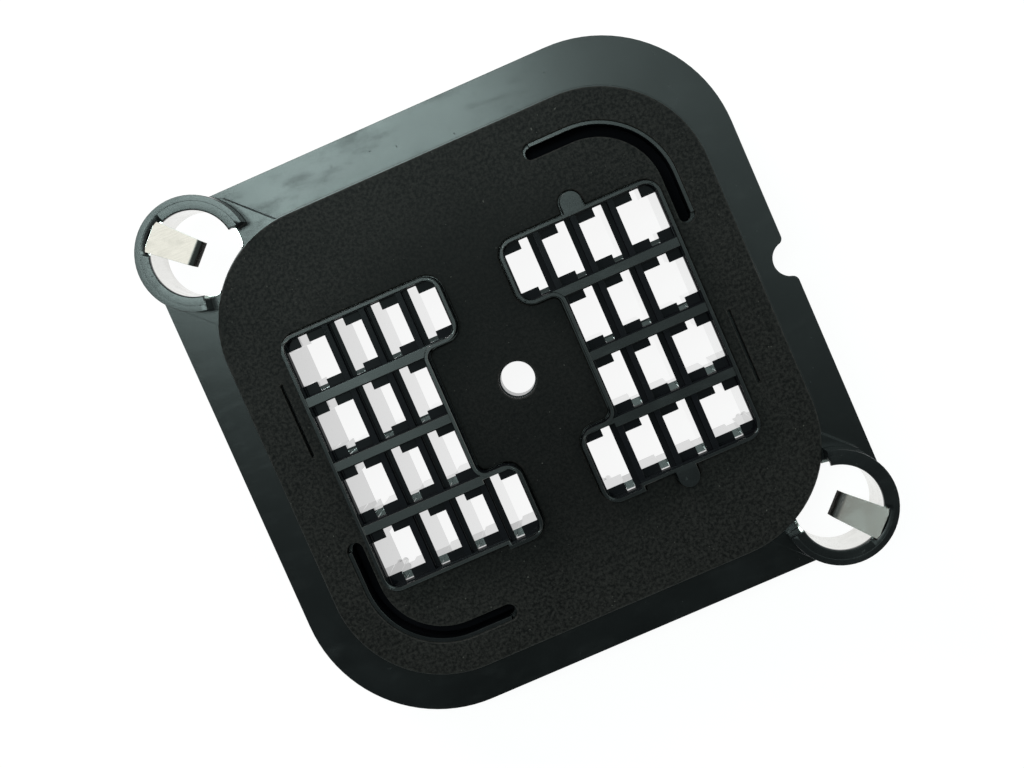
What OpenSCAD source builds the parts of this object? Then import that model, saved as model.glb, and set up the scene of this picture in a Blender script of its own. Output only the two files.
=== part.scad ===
// Multi-way bulkhead connector housing: a moulded flange with two keyed terminal shrouds,
// a foam face gasket and a sprung steel stud retainer in each of two corner cups.
// The origin is on the bolt hole's axis at the back plane, +Z towards the mating face, +X along a terminal row.

/* [Flange] */
// Width of the flange along the terminal rows
flange_w = 94.5; // [88:0.5:112]
// Length of the flange across the terminal rows
flange_l = 92.4; // [86:0.1:110]
// Thickness of the flange
flange_t = 2.5; // [1.5:0.1:4]
// Radius of the two corners that have no cup
flange_corner_r = 22.5; // [10:0.5:28]
// Radius of the round index notch in the right edge
notch_r = 2.9; // [1.5:0.1:4]
// Rounding where the notch meets the edge
notch_lead_r = 1.1; // [0.5:0.1:2]
// Distance of the notch's centre outside the edge
notch_out = 0.1; // [0:0.1:0.6]
// Offset of the notch from the middle of the edge
notch_y = 0.1; // [-6:0.1:6]

/* [Plateau and bolt boss] */
// Height of the plateau above the flange
plateau_h = 3.5; // [2:0.1:6]
// Ledge of plateau left outside the gasket
plateau_ledge = 0.4; // [0.1:0.1:1]
// Wall left over the hollow under the plateau
plateau_wall = 2.5; // [1.8:0.1:3]
// Diameter of the centre bolt hole
bolt_d = 5.5; // [4:0.1:7]
// Diameter of the boss round the bolt hole
boss_d = 14; // [10:0.5:18]
// Thickness of the ribs that run out from the boss
boss_rib_t = 1.6; // [1:0.1:3]

/* [Gasket] */
// Width of the gasket along the terminal rows
gasket_w = 82; // [76:0.5:88]
// Length of the gasket across the terminal rows
gasket_l = 78; // [72:0.1:84]
// Offset of the gasket and its plateau from the bolt hole
gasket_y = -0.8; // [-2:0.1:1]
// Thickness of the gasket
gasket_t = 2; // [1:0.1:3]
// Radius of the gasket's corners
gasket_corner_r = 18.2; // [16:0.1:22]
// Clearance of the gasket round the shrouds and the bolt hole
gasket_gap = 0.25; // [0.1:0.05:0.5]
// Width of the corner slots
slot_w = 2.6; // [1.8:0.1:3.5]
// Centre-line radius of the corner slots
slot_r = 12; // [8:0.5:13]
// Centre line of a corner slot along X
slot_x = 34.5; // [34.2:0.1:36]
// Centre line of a corner slot along Y
slot_y = 32.6; // [29:0.1:34]
// Where a corner slot ends along X
slot_end_x = 16.1; // [8:0.1:20]
// Where a corner slot ends along Y
slot_end_y = 13.9; // [8:0.1:18]
// Depth of the groove in the plateau under a corner slot
groove_d = 3.8; // [1:0.1:4]
// Wall of the trough that holds the groove
trough_t = 1.5; // [1:0.1:1.8]
// Thickness of the locating rib that stands in a corner slot
locator_t = 0.6; // [0.4:0.1:1]
// Clearance between a locating rib and the gasket
locator_gap = 0.05; // [0.02:0.01:0.1]
// Distance of the locating rib's top below the gasket's face
locator_low = 0.15; // [0:0.05:0.6]
// Length of the two relief slits
slit_l = 12.5; // [6:0.5:18]
// Width of the relief slits
slit_w = 0.45; // [0.3:0.05:0.8]
// Distance of the relief slits outside the shrouds
slit_gap = 2.2; // [1.6:0.1:3]
// Distance of the relief slits' middles from the centre
slit_y = 8.6; // [7:0.1:10]

/* [Shrouds] */
// Height of the shrouds above the plateau
shroud_h = 5; // [3.5:0.1:8]
// Depth of the shrouds behind the flange
shroud_back = 13; // [8:0.5:18]
// Wall between the terminal cavities and the outside
shroud_wall = 0.8; // [0.6:0.05:1]
// Thickness of the lip that stands round each shroud's face
lip_t = 0.55; // [0.4:0.05:0.6]
// Height of the lip above the dividers
lip_h = 1; // [0.6:0.1:1.4]
// Rounding of the shrouds' outward corners
shroud_r = 2.6; // [1.5:0.1:3.2]
// Rounding of the shrouds' inward corners
shroud_inner_r = 1.6; // [0.8:0.1:2]
// Radius of the two keys on the right shroud
key_r = 1.7; // [1.2:0.05:2.2]
// Distance of a key's centre outside the shroud's edge
key_out = 1.4; // [0.8:0.1:2]
// Place of the keys along X
key_x = 18.6; // [14:0.1:24]

/* [Terminal cavities] */
// Distance between columns
col_pitch = 6.27; // [6.2:0.01:7]
// Distance between rows
row_pitch = 10.96; // [10.8:0.01:12]
// Offset of the rows from the bolt hole
row_shift = -1.15; // [-2:0.05:1]
// Outer side of the outermost blade slots
blade_x = 29.05; // [28.5:0.05:29.2]
// Width of a blade slot
blade_t = 1.45; // [1:0.05:1.5]
// Length of a blade slot
blade_l = 9.15; // [8.4:0.05:9.3]
// Length of the blade slot in the two long cavities
long_blade_l = 10.9; // [10:0.1:11.2]
// Width of the spring window beside a blade slot
window_w = 2.85; // [2:0.05:2.95]
// Length of the spring window
window_l = 6.4; // [5:0.1:7]
// Length of the spring window in the two long cavities
long_window_l = 8; // [7:0.1:9]
// Width of the second window of the outermost cavities
tab_w = 2.25; // [1.5:0.05:2.4]
// Length of the second window of the outermost cavities
tab_l = 5.9; // [4.5:0.1:6.4]
// Ledge left beside a blade slot
blade_ledge = 0.95; // [0.7:0.05:1.1]
// Depth of the cavities' front pockets below the dividers
pocket_d = 2; // [1:0.1:2.6]
// Depth of the wider wire entries at the back
entry_d = 9.5; // [5:0.5:12]
// Length that a wire entry has over its blade slot
entry_extra = 0.5; // [0.2:0.1:0.8]
// Width of the bars between rows
bar_w = 1.45; // [0.8:0.05:1.6]
// Distance of the bars' tops below the lip
bar_low = 0.4; // [0.1:0.1:0.6]

/* [Cups and retainers] */
// Distance of each cup's axis from the flange's side edge
cup_in_x = 8.95; // [8.4:0.05:9]
// Distance of each cup's axis from the flange's end edge
cup_in_y = 7.9; // [7.4:0.1:8.8]
// Outer radius of a cup
cup_r = 9.1; // [8.6:0.1:9.2]
// Width of the arm that ties a cup to the plateau
arm_w = 18.9; // [18.6:0.1:21]
// Height of a cup's rim above the plateau
cup_h = 5; // [4:0.1:7]
// Length of a cup behind the flange
cup_tail = 2.5; // [1:0.1:6]
// Half of the angle over which the rim is open
cup_gap_a = 54; // [40:1:65]
// Depth of the chamfer inside a rim
cup_chamfer = 0.9; // [0.4:0.1:1.2]
// Outer radius of a retainer's sleeve
sleeve_r = 7.2; // [6.6:0.05:7.4]
// Clearance between a sleeve and its cup
sleeve_gap = 0.05; // [0.02:0.01:0.1]
// Thickness of the retainer's sheet steel
sheet_t = 0.45; // [0.3:0.05:0.6]
// Width of a spring tongue at its root
tongue_root_w = 5.2; // [4:0.1:6]
// Width of a spring tongue at its tip
tongue_tip_w = 4; // [3:0.1:5]
// Length of the straight stretch of a spring tongue
tongue_l = 5.4; // [4:0.1:6]
// Angle at which a spring tongue slopes into its cup
tongue_slope_a = 22; // [10:1:30]
// Radius of the bend at a tongue's root
tongue_bend_r = 0.8; // [0.6:0.05:1]
// Radius of the curl at a tongue's tip
tongue_curl_r = 2.4; // [1.5:0.1:3]
// Angle of the curl at a tongue's tip
tongue_curl_a = 58; // [30:1:70]

/* [Hidden] */
$fn = 96;

// Overlap of joined solids and reach of cuts past a face
over = 0.5;
// Overlap of the notch with the rounds that lead into it
lead_overlap = 0.04;
// Side clearance of a tongue's root in its notch
root_gap = 0.1;
// Angle by which a sleeve's edge stands back from the rim's end
sleeve_back_a = 4;
// Steps in a bend of the sheet
arc_steps = 10;

rows = 4;
end_cols = 4;
mid_cols = 3;

// Levels, from the back plane up
flange_z = shroud_back;
flange_top = flange_z + flange_t;
pad_z = flange_top + plateau_h;
face_z = pad_z + gasket_t;
lip_z = pad_z + shroud_h;
deck_z = lip_z - lip_h;
pocket_z = deck_z - pocket_d;
rim_z = pad_z + cup_h;
cup_z = flange_z - cup_tail;

half_fw = flange_w / 2;
half_fl = flange_l / 2;
cup_x = half_fw - cup_in_x;
cup_y = half_fl - cup_in_y;
half_gw = gasket_w / 2;
half_gl = gasket_l / 2;
// Half of what a rib and its clearance take from a corner slot's width
locator_in = (locator_t + locator_gap) / 2;
cell_w = blade_t + window_w;
pocket_w = cell_w + blade_ledge;

// Edges of a shroud, measured from the centre
outer_x = blade_x + tab_w + shroud_wall;
arm_x = blade_x - (end_cols - 1) * col_pitch - cell_w - shroud_wall;
waist_x = blade_x - (mid_cols - 1) * col_pitch - cell_w - shroud_wall;
jog_x = blade_x - (end_cols - 1) * col_pitch + blade_ledge + shroud_wall / 2;
top_y = row_y(0) + blade_l / 2 + shroud_wall;
arm_y = row_y(0) - blade_l / 2 - shroud_wall;
long_top_y = row_y(rows - 1) + long_blade_l / 2 + shroud_wall;
long_bottom_y = row_y(rows - 1) - long_blade_l / 2 - shroud_wall;
bottom_y = row_y(rows - 1) - blade_l / 2 - shroud_wall;

bore_r = sleeve_r + sleeve_gap;

// Radial middle of a tongue's root, and where its bend starts
root_r = sleeve_r - sheet_t / 3;
bend_z = rim_z - tongue_bend_r - sheet_t - root_gap;
root_notch_r = root_r + sheet_t / 2 + root_gap;

function row_y(row) = row_shift + ((rows - 1) / 2 - row) * row_pitch;
function is_end(row) = row == 0 || row == rows - 1;
function cols(row) = is_end(row) ? end_cols : mid_cols;
function is_long(row, col) = row == rows - 1 && col == end_cols - 1;
function slot_len(row, col) = is_long(row, col) ? long_blade_l : blade_l;
function window_len(row, col) = is_long(row, col) ? long_window_l : window_l;
function polar(r, a) = [r * cos(a), r * sin(a)];

// What a quarter round leaves of the square at its corner
module spandrel(r) {
    difference() {
        square(r + over);
        circle(r);
    }
}

// Places a spandrel at the corner (x, y); sx and sy point out of the shape
module at_corner(x, y, sx, sy, r) {
    translate([x - sx * r, y - sy * r])
        mirror([sx < 0 ? 1 : 0, 0])
            mirror([0, sy < 0 ? 1 : 0])
                spandrel(r);
}

// Fills the inward corner (x, y) with a round; sx and sy point into the free space
module fill_corner(x, y, sx, sy, r) {
    difference() {
        translate([x - (sx < 0 ? r : over), y - (sy < 0 ? r : over)])
            square(r + over);
        translate([x + sx * r, y + sy * r])
            circle(r);
    }
}

// A rectangle with one radius at the free corners and one at the corners beside the cups
module plate_outline(half_x, half_y, free_r, cup_corner_r) {
    difference() {
        square([2 * half_x, 2 * half_y], center = true);
        for (s = [-1, 1]) {
            at_corner(s * half_x, s * half_y, s, s, free_r);
            at_corner(-s * half_x, s * half_y, -s, s, cup_corner_r);
        }
    }
}

module gasket_plan(grow) {
    corner_r = gasket_corner_r + grow;
    translate([0, gasket_y]) plate_outline(half_gw + grow, half_gl + grow, corner_r, corner_r);
}

// Round notch in the flange's right edge, with rounds that lead into it
module index_notch() {
    centre = [half_fw + notch_out, notch_y];
    apart = notch_r + notch_lead_r - lead_overlap;
    lead_y = sqrt(pow(apart, 2) - pow(notch_out + notch_lead_r, 2));
    leads = [for (s = [1, -1]) [half_fw - notch_lead_r, notch_y + s * lead_y]];
    past_x = half_fw + notch_r;
    translate(centre) circle(notch_r);
    difference() {
        polygon([centre, leads[0], [past_x, leads[0][1]], [past_x, leads[1][1]], leads[1]]);
        for (lead = leads) translate(lead) circle(notch_lead_r);
    }
}

module flange_plan() {
    difference() {
        plate_outline(half_fw, half_fl, flange_corner_r, cup_in_y);
        index_notch();
    }
}

// Plan of the right shroud, drawn in by d all round
module shroud_plan(d) {
    convex_r = shroud_r - d;
    concave_r = shroud_inner_r + d;
    difference() {
        union() {
            polygon([
                [outer_x - d, top_y - d], [arm_x + d, top_y - d], [arm_x + d, arm_y + d],
                [waist_x + d, arm_y + d], [waist_x + d, long_top_y - d], [arm_x + d, long_top_y - d],
                [arm_x + d, long_bottom_y + d], [jog_x - d, long_bottom_y + d],
                [jog_x - d, bottom_y + d], [outer_x - d, bottom_y + d]
            ]);
            fill_corner(waist_x + d, arm_y + d, -1, -1, concave_r);
            fill_corner(waist_x + d, long_top_y - d, -1, 1, concave_r);
        }
        at_corner(outer_x - d, top_y - d, 1, 1, convex_r);
        at_corner(outer_x - d, bottom_y + d, 1, -1, convex_r);
        for (y = [top_y - d, long_top_y - d]) at_corner(arm_x + d, y, -1, 1, convex_r);
        for (y = [arm_y + d, long_bottom_y + d]) at_corner(arm_x + d, y, -1, -1, convex_r);
    }
}

// The two keys at the ends of the right shroud, larger all round by grow
module key_plan(grow) {
    for (end = [[top_y, 1], [bottom_y, -1]]) {
        translate([key_x, end[0] + end[1] * key_out]) circle(key_r + grow);
        translate([key_x - key_r - grow, min(end[0], end[0] + end[1] * key_out) - (end[1] > 0 ? over : 0)])
            square([2 * (key_r + grow), key_out + over]);
    }
}

// Both shrouds in plan
module shroud_pair(d) {
    for (side = [0, 1]) mirror([side, 0]) shroud_plan(d);
}

// A band round one corner of the plate, shifted outward from the slot's centre line
module corner_band(shift, w, round_ends) {
    centre = [slot_x - slot_r, slot_y - slot_r];
    translate(centre) intersection() {
        difference() {
            circle(slot_r + shift + w / 2);
            circle(slot_r + shift - w / 2);
        }
        square(2 * slot_r);
    }
    translate([slot_end_x, slot_y + shift - w / 2]) square([centre[0] - slot_end_x, w]);
    translate([slot_x + shift - w / 2, slot_end_y]) square([w, centre[1] - slot_end_y]);
    if (round_ends) {
        translate([slot_end_x, slot_y + shift]) circle(w / 2);
        translate([slot_x + shift, slot_end_y]) circle(w / 2);
    }
}

module corner_bands(shift, w, round_ends = true) {
    translate([0, gasket_y]) for (a = [0, 180]) rotate(a) corner_band(shift, w, round_ends);
}

// Draws its children in the cup's own frame, with +X pointing away from the plate's centre
module at_cup() {
    translate([-cup_x, cup_y, 0]) rotate(135) children();
}

module at_cups() {
    for (a = [0, 180]) rotate(a) at_cup() children();
}

// Flange and plateau, hollow behind
module shell() {
    difference() {
        union() {
            translate([0, 0, flange_z]) linear_extrude(flange_t) flange_plan();
            translate([0, 0, flange_z]) linear_extrude(flange_t + plateau_h) {
                gasket_plan(plateau_ledge);
                at_cups() arm_plan();
            }
        }
        translate([0, 0, flange_z - over])
            linear_extrude(flange_t + plateau_h - plateau_wall + over)
                gasket_plan(plateau_ledge - plateau_wall);
    }
}

// The shell with its locating ribs and the grooves under the corner slots
module plate() {
    difference() {
        union() {
            shell();
            locators();
            translate([0, 0, pad_z - groove_d - trough_t])
                linear_extrude(groove_d + trough_t - over) corner_bands(0, slot_w + 2 * trough_t);
        }
        translate([0, 0, pad_z - groove_d])
            linear_extrude(groove_d + gasket_t + over) corner_bands(-locator_in, slot_w - 2 * locator_in);
    }
}

// Bar that ties a cup to the plateau
module arm_plan() {
    reach = norm([cup_x, cup_y]) - half_gl;
    translate([-reach, -arm_w / 2]) square([reach, arm_w]);
}

module bolt_boss() {
    height = flange_t + plateau_h - over;
    translate([0, 0, flange_z]) {
        cylinder(d = boss_d, h = height);
        translate([-waist_x - over, -boss_rib_t / 2, 0]) cube([2 * (waist_x + over), boss_rib_t, height]);
        translate([-boss_rib_t / 2, gasket_y - half_gl + plateau_wall / 2, 0])
            cube([boss_rib_t, 2 * half_gl - plateau_wall, height]);
    }
}

// Ribs along the outer sides of the corner slots; the grooves trim their inner sides
module locators() {
    outside = slot_w / 2 - locator_gap;
    inside = slot_w / 2 - locator_gap - 2 * locator_t;
    translate([0, 0, pad_z - over]) linear_extrude(over + gasket_t - locator_low)
        corner_bands((outside + inside) / 2, outside - inside, false);
}

module shroud_blocks() {
    linear_extrude(lip_z) shroud_pair(0);
    translate([0, 0, flange_z]) linear_extrude(lip_z - flange_z) key_plan(0);
}

// Space inside the lip, round the bars that part the rows
module faces() {
    translate([0, 0, deck_z]) linear_extrude(lip_h + over) difference() {
        shroud_pair(lip_t);
        for (row = [0 : rows - 2])
            translate([-outer_x, (row_y(row) + row_y(row + 1) - bar_w) / 2]) square([2 * outer_x, bar_w]);
    }
    translate([0, 0, lip_z - bar_low]) linear_extrude(bar_low + over) shroud_pair(lip_t);
}

// One terminal cavity of the right shroud, with its blade slot's outer side at X = 0
module cavity(row, col) {
    slot = slot_len(row, col);
    window = window_len(row, col);
    second = col == 0 ? tab_w : 0;
    side = col == 0 ? tab_w : blade_ledge;
    translate([-cell_w, -slot / 2, pocket_z]) cube([cell_w + side, slot, lip_z]);
    translate([-blade_t, -slot / 2, -over]) cube([blade_t, slot, lip_z]);
    translate([-cell_w, -window / 2, -over]) cube([cell_w, window, lip_z]);
    if (col == 0) translate([-blade_t, -tab_l / 2, -over]) cube([blade_t + tab_w, tab_l, lip_z]);
    translate([-cell_w, -(slot + entry_extra) / 2, -over])
        cube([cell_w + second, slot + entry_extra, entry_d + over]);
}

module cavities() {
    for (side = [0, 1], row = [0 : rows - 1], col = [0 : cols(row) - 1])
        mirror([side, 0, 0]) translate([blade_x - col * col_pitch, row_y(row), 0]) cavity(row, col);
}

// Wedge over which a rim is open, towards the plate's centre
module gap_plan(half_a) {
    far = 1.3 * cup_r;
    polygon([[0, 0], polar(far, 180 - half_a), [-far, 0], polar(far, 180 + half_a)]);
}

// The cups' bores, which stop at the plateau's edge
module bores() {
    translate([0, 0, cup_z - over]) linear_extrude(rim_z - cup_z + 2 * over) difference() {
        at_cups() circle(bore_r);
        gasket_plan(plateau_ledge);
    }
}

// What else is cut from a cup: the rim's opening, the chamfer and the tongue's notch
module cup_cuts() {
    notch_w = tongue_root_w + 2 * root_gap;
    translate([0, 0, rim_z - cup_chamfer]) cylinder(r1 = bore_r, r2 = bore_r + cup_chamfer, h = cup_chamfer);
    translate([0, 0, pad_z]) linear_extrude(cup_h + over) gap_plan(cup_gap_a);
    translate([0, -notch_w / 2, pad_z]) cube([root_notch_r, notch_w, cup_h + over]);
}

module housing() {
    color("#1d1f21") difference() {
        union() {
            plate();
            bolt_boss();
            shroud_blocks();
            at_cups() translate([0, 0, cup_z]) cylinder(r = cup_r, h = rim_z - cup_z);
        }
        faces();
        cavities();
        bores();
        at_cups() cup_cuts();
        translate([0, 0, flange_z - over]) cylinder(d = bolt_d, h = flange_t + plateau_h + 2 * over);
    }
}

module gasket() {
    color("#2b2725") translate([0, 0, pad_z]) linear_extrude(gasket_t) difference() {
        gasket_plan(0);
        shroud_pair(-gasket_gap);
        key_plan(gasket_gap);
        circle(bolt_d / 2 + gasket_gap);
        corner_bands(0, slot_w);
        translate([0, gasket_y]) for (a = [0, 180]) rotate(a)
            translate([outer_x + slit_gap, -slit_y - slit_l / 2]) square([slit_w, slit_l]);
    }
}

function arc_points(centre, r, a0, a1) =
    [for (i = [0 : arc_steps]) centre + polar(r, a0 + (a1 - a0) * i / arc_steps)];

// One side of the tongue's sheet, off its middle by the given distance: X is radial, Y is height
function tongue_side(off) =
    let (
        turn = 90 + tongue_slope_a,
        bend_c = [root_r - tongue_bend_r, bend_z],
        straight = bend_c + polar(tongue_bend_r, turn),
        curl_c = straight + polar(tongue_l, turn + 90) + polar(tongue_curl_r, turn + 180)
    )
    concat(
        [[root_r + off, pad_z]],
        arc_points(bend_c, tongue_bend_r + off, 0, turn),
        arc_points(curl_c, tongue_curl_r + off, turn, turn + tongue_curl_a)
    );

function reverse(list) = [for (i = [len(list) - 1 : -1 : 0]) list[i]];

// Sprung tongue, from its flat root in the sleeve's wall to its curled tip
module tongue() {
    root_x = root_r + sheet_t;
    tip_x = root_r - tongue_l - tongue_bend_r - tongue_curl_r;
    root = tongue_root_w / 2;
    tip = tongue_tip_w / 2;
    intersection() {
        rotate([90, 0, 0]) linear_extrude(tongue_root_w, center = true)
            polygon(concat(tongue_side(sheet_t / 2), reverse(tongue_side(-sheet_t / 2))));
        linear_extrude(2 * rim_z) polygon([[root_x, root], [tip_x, tip], [tip_x, -tip], [root_x, -root]]);
    }
}

// Rolled sleeve that lines a cup, cut down to the pad over the rim's opening
module sleeve() {
    top_z = rim_z - cup_chamfer - root_gap;
    difference() {
        translate([0, 0, cup_z]) cylinder(r = sleeve_r, h = top_z - cup_z);
        translate([0, 0, cup_z - over]) cylinder(r = sleeve_r - sheet_t, h = rim_z);
        translate([0, 0, pad_z - root_gap]) linear_extrude(cup_h) gap_plan(cup_gap_a + sleeve_back_a);
    }
}

// A retainer in the upper-left cup, or turned into the lower-right one, clear of the plateau
module retainer(turn) {
    color("#b9bab4") difference() {
        rotate(turn) at_cup() {
            sleeve();
            tongue();
        }
        translate([0, 0, cup_z - over]) linear_extrude(rim_z) gasket_plan(plateau_ledge + root_gap);
    }
}

module retainer_left() {
    retainer(0);
}

module retainer_right() {
    retainer(180);
}

housing();
gasket();
retainer_left();
retainer_right();
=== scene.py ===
"""Bulkhead connector housing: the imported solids, dressed and lit as a product shot on white."""

import logging
import math
from dataclasses import dataclass
from enum import Enum
from functools import partial
from typing import Any, Callable, Iterable, Sequence

import bmesh
import bpy
from mathutils import Matrix, Vector


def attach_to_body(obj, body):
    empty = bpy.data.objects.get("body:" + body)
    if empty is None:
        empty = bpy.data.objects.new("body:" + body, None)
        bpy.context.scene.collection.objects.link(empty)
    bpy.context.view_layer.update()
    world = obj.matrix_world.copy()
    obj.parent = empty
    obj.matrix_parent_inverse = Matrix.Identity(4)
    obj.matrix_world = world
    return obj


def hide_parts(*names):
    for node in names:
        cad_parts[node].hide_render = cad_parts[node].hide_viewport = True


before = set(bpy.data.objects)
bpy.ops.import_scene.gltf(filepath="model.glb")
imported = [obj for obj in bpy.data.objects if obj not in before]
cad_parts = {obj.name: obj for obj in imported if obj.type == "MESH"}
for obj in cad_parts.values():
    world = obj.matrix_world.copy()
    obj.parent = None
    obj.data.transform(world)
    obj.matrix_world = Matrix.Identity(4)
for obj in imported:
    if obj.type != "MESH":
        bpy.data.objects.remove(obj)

Vec2 = tuple[float, float]
Vec3 = tuple[float, float, float]
Colour = tuple[float, float, float]
Range = tuple[float, float]

LOG = logging.getLogger("connector")
MM = 0.001
FRAME_PIXELS = (1024, 768)
WHITE: Colour = (1.0, 1.0, 1.0)
WINDOW_TINT: Colour = (0.78, 1.0, 0.97)

# The right and the left shroud, or the upper-left and the lower-right cup
SIDES = (1, -1)
# Distance of a cup's axis from the bolt hole, along X and along Y
CUP_AXIS = 38.3 * MM


class Body(Enum):
    """The bodies that pieces ride on."""

    ROOT = "root"


class Slot(Enum):
    """Material slots of the record."""

    PLASTIC = "housing_plastic"
    FOAM = "gasket_foam"
    STEEL = "retainer_steel"


class Link:
    """A shader socket with operators, so that maths on values reads as an expression."""

    def __init__(self, graph: "Graph", socket: bpy.types.NodeSocket | None) -> None:
        """Wrap an output socket of a graph."""
        self.graph = graph
        self.socket = socket

    def _math(self, operation: str, *values: Any) -> "Link":
        """Add a Math node that works on the given values."""
        return self.graph.node("ShaderNodeMath", {"operation": operation}, dict(enumerate(values)))

    def __add__(self, other: Any) -> "Link":
        """Sum."""
        return self._math("ADD", self, other)

    def __radd__(self, other: Any) -> "Link":
        """Sum with a number on the left."""
        return self._math("ADD", other, self)

    def __rsub__(self, other: Any) -> "Link":
        """Difference with a number on the left."""
        return self._math("SUBTRACT", other, self)

    def __mul__(self, other: Any) -> "Link":
        """Product."""
        return self._math("MULTIPLY", self, other)

    def absolute(self) -> "Link":
        """Size without sign."""
        return self._math("ABSOLUTE", self)

    def maximum(self, other: Any) -> "Link":
        """The larger of two values."""
        return self._math("MAXIMUM", self, other)

    def lifted(self, low: float) -> "Link":
        """Raise 0 to a low value and leave 1 as it is."""
        return low + self * (1.0 - low)

    def step(self, low: float, high: float) -> "Link":
        """Map low to 0 and high to 1 along a smooth curve.

        Args:
            low: Value that gives 0.
            high: Value that gives 1.

        Returns:
            The mapped value.
        """
        settings = {"interpolation_type": "SMOOTHSTEP"}
        values = {"Value": self, "From Min": low, "From Max": high, "To Min": 0.0, "To Max": 1.0}
        return self.graph.node("ShaderNodeMapRange", settings, values)

    def within(self, low: float, high: float, fade: float = 0.2 * MM) -> "Link":
        """Tell whether the value lies between two limits.

        Args:
            low: Lower limit.
            high: Upper limit.
            fade: Width of the soft edge inside each limit.

        Returns:
            1 between the limits and 0 outside them.
        """
        return self.step(low, low + fade) * self.step(high, high - fade)


class Graph:
    """A node tree that is filled one node at a time."""

    def __init__(self, tree: bpy.types.NodeTree) -> None:
        """Start from an empty tree."""
        self.tree = tree
        tree.nodes.clear()

    def node(self, kind: str, settings: dict[str, Any] | None = None,
             inputs: dict[Any, Any] | None = None, output: Any = 0) -> Link:
        """Add one node.

        Args:
            kind: The node's type name.
            settings: Properties of the node.
            inputs: Socket name or number to a value or a link.
            output: Name or number of the output that is returned.

        Returns:
            The wanted output of the new node.
        """
        made = self.tree.nodes.new(kind)
        for name, value in (settings or {}).items():
            setattr(made, name, value)
        for name, value in (inputs or {}).items():
            socket = made.inputs[name]
            if isinstance(value, Link):
                self.tree.links.new(value.socket, socket)
            else:
                socket.default_value = value
        return Link(self, made.outputs[output] if len(made.outputs) else None)

    def axes(self, where: Link) -> list[Link]:
        """Split coordinates into X, Y and Z."""
        split = self.node("ShaderNodeSeparateXYZ", None, {0: where}).socket.node
        return [Link(self, axis) for axis in split.outputs]

    def mix(self, factor: Any, first: Any, second: Any) -> Link:
        """Blend two colours.

        Args:
            factor: Share of the second colour.
            first: Colour or link.
            second: Colour or link.

        Returns:
            The blended colour.
        """
        one, two = (value if isinstance(value, Link) else opaque(value) for value in (first, second))
        settings = {"data_type": "RGBA", "clamp_factor": True}
        return self.node("ShaderNodeMix", settings, {0: factor, 6: one, 7: two}, 2)

    def bump(self, height: Link, strength: float, depth: float) -> Link:
        """Raise and sink a surface.

        Args:
            height: Pattern that is raised.
            strength: Weight of the whole.
            depth: Height of the pattern, in metres.

        Returns:
            The new normal.
        """
        values = {"Strength": strength, "Distance": depth, "Height": height}
        return self.node("ShaderNodeBump", None, values)


class ShapeTree(Graph):
    """A Geometry Nodes tree with named sizes, which is run on one piece and then frozen."""

    def __init__(self, name: str, sizes: dict[str, float]) -> None:
        """Start a tree.

        Args:
            name: Name of the tree.
            sizes: Name and value of each size that the tree takes.
        """
        tree = bpy.data.node_groups.new(name, "GeometryNodeTree")
        super().__init__(tree)
        self.sizes = sizes
        self.keys = {}
        for way in ("INPUT", "OUTPUT"):
            tree.interface.new_socket("Geometry", in_out=way, socket_type="NodeSocketGeometry")
        for label in sizes:
            socket = tree.interface.new_socket(label, in_out="INPUT", socket_type="NodeSocketFloat")
            self.keys[label] = socket.identifier
        self.entry = tree.nodes.new("NodeGroupInput")

    def given(self, label: str = "Geometry") -> Link:
        """Get one of the tree's inputs."""
        return Link(self, self.entry.outputs[label])

    def close(self, shape: Link, finish: bpy.types.Material) -> None:
        """Realise the shape, dress it and hand it out.

        Args:
            shape: What the tree has made.
            finish: Its material.
        """
        smooth = self.node("GeometryNodeSetShadeSmooth", None, {0: shape})
        real = self.node("GeometryNodeRealizeInstances", None, {0: smooth})
        dressed = self.node("GeometryNodeSetMaterial", None, {"Geometry": real, "Material": finish})
        self.node("NodeGroupOutput", None, {0: dressed})

    def scatter(self, shape: Link, finish: bpy.types.Material) -> None:
        """Set a shape on every point of the piece and hand the lot out.

        Args:
            shape: What stands on each point.
            finish: Its material.
        """
        points = self.node("GeometryNodeMeshToPoints", None, {0: self.given()})
        values = {"Points": points, "Instance": shape}
        self.close(self.node("GeometryNodeInstanceOnPoints", None, values), finish)

    def prism(self, sides: int, radius: str, depth: str) -> Link:
        """Make an upright prism.

        Args:
            sides: Number of its sides.
            radius: Name of the size that gives its radius.
            depth: Name of the size that gives its height.

        Returns:
            The prism.
        """
        values = {"Vertices": sides, "Radius": self.given(radius), "Depth": self.given(depth)}
        return self.node("GeometryNodeMeshCylinder", {"fill_type": "NGON"}, values)

    def run(self, piece: bpy.types.Object) -> None:
        """Shape a piece with the tree and keep the result as its mesh.

        Args:
            piece: Object that holds the tree's input.
        """
        modifier = piece.modifiers.new(self.tree.name, "NODES")
        modifier.node_group = self.tree
        for label, value in self.sizes.items():
            modifier[self.keys[label]] = value
        freeze(piece)


def opaque(colour: Colour) -> tuple[float, float, float, float]:
    """Add full alpha to a colour."""
    return (*colour, 1.0)


def blank(name: str) -> tuple[bpy.types.Material, Graph]:
    """Start a material.

    Args:
        name: Name of the material.

    Returns:
        The material and its empty tree.
    """
    material = bpy.data.materials.new(name)
    material.use_nodes = True
    return material, Graph(material.node_tree)


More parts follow.
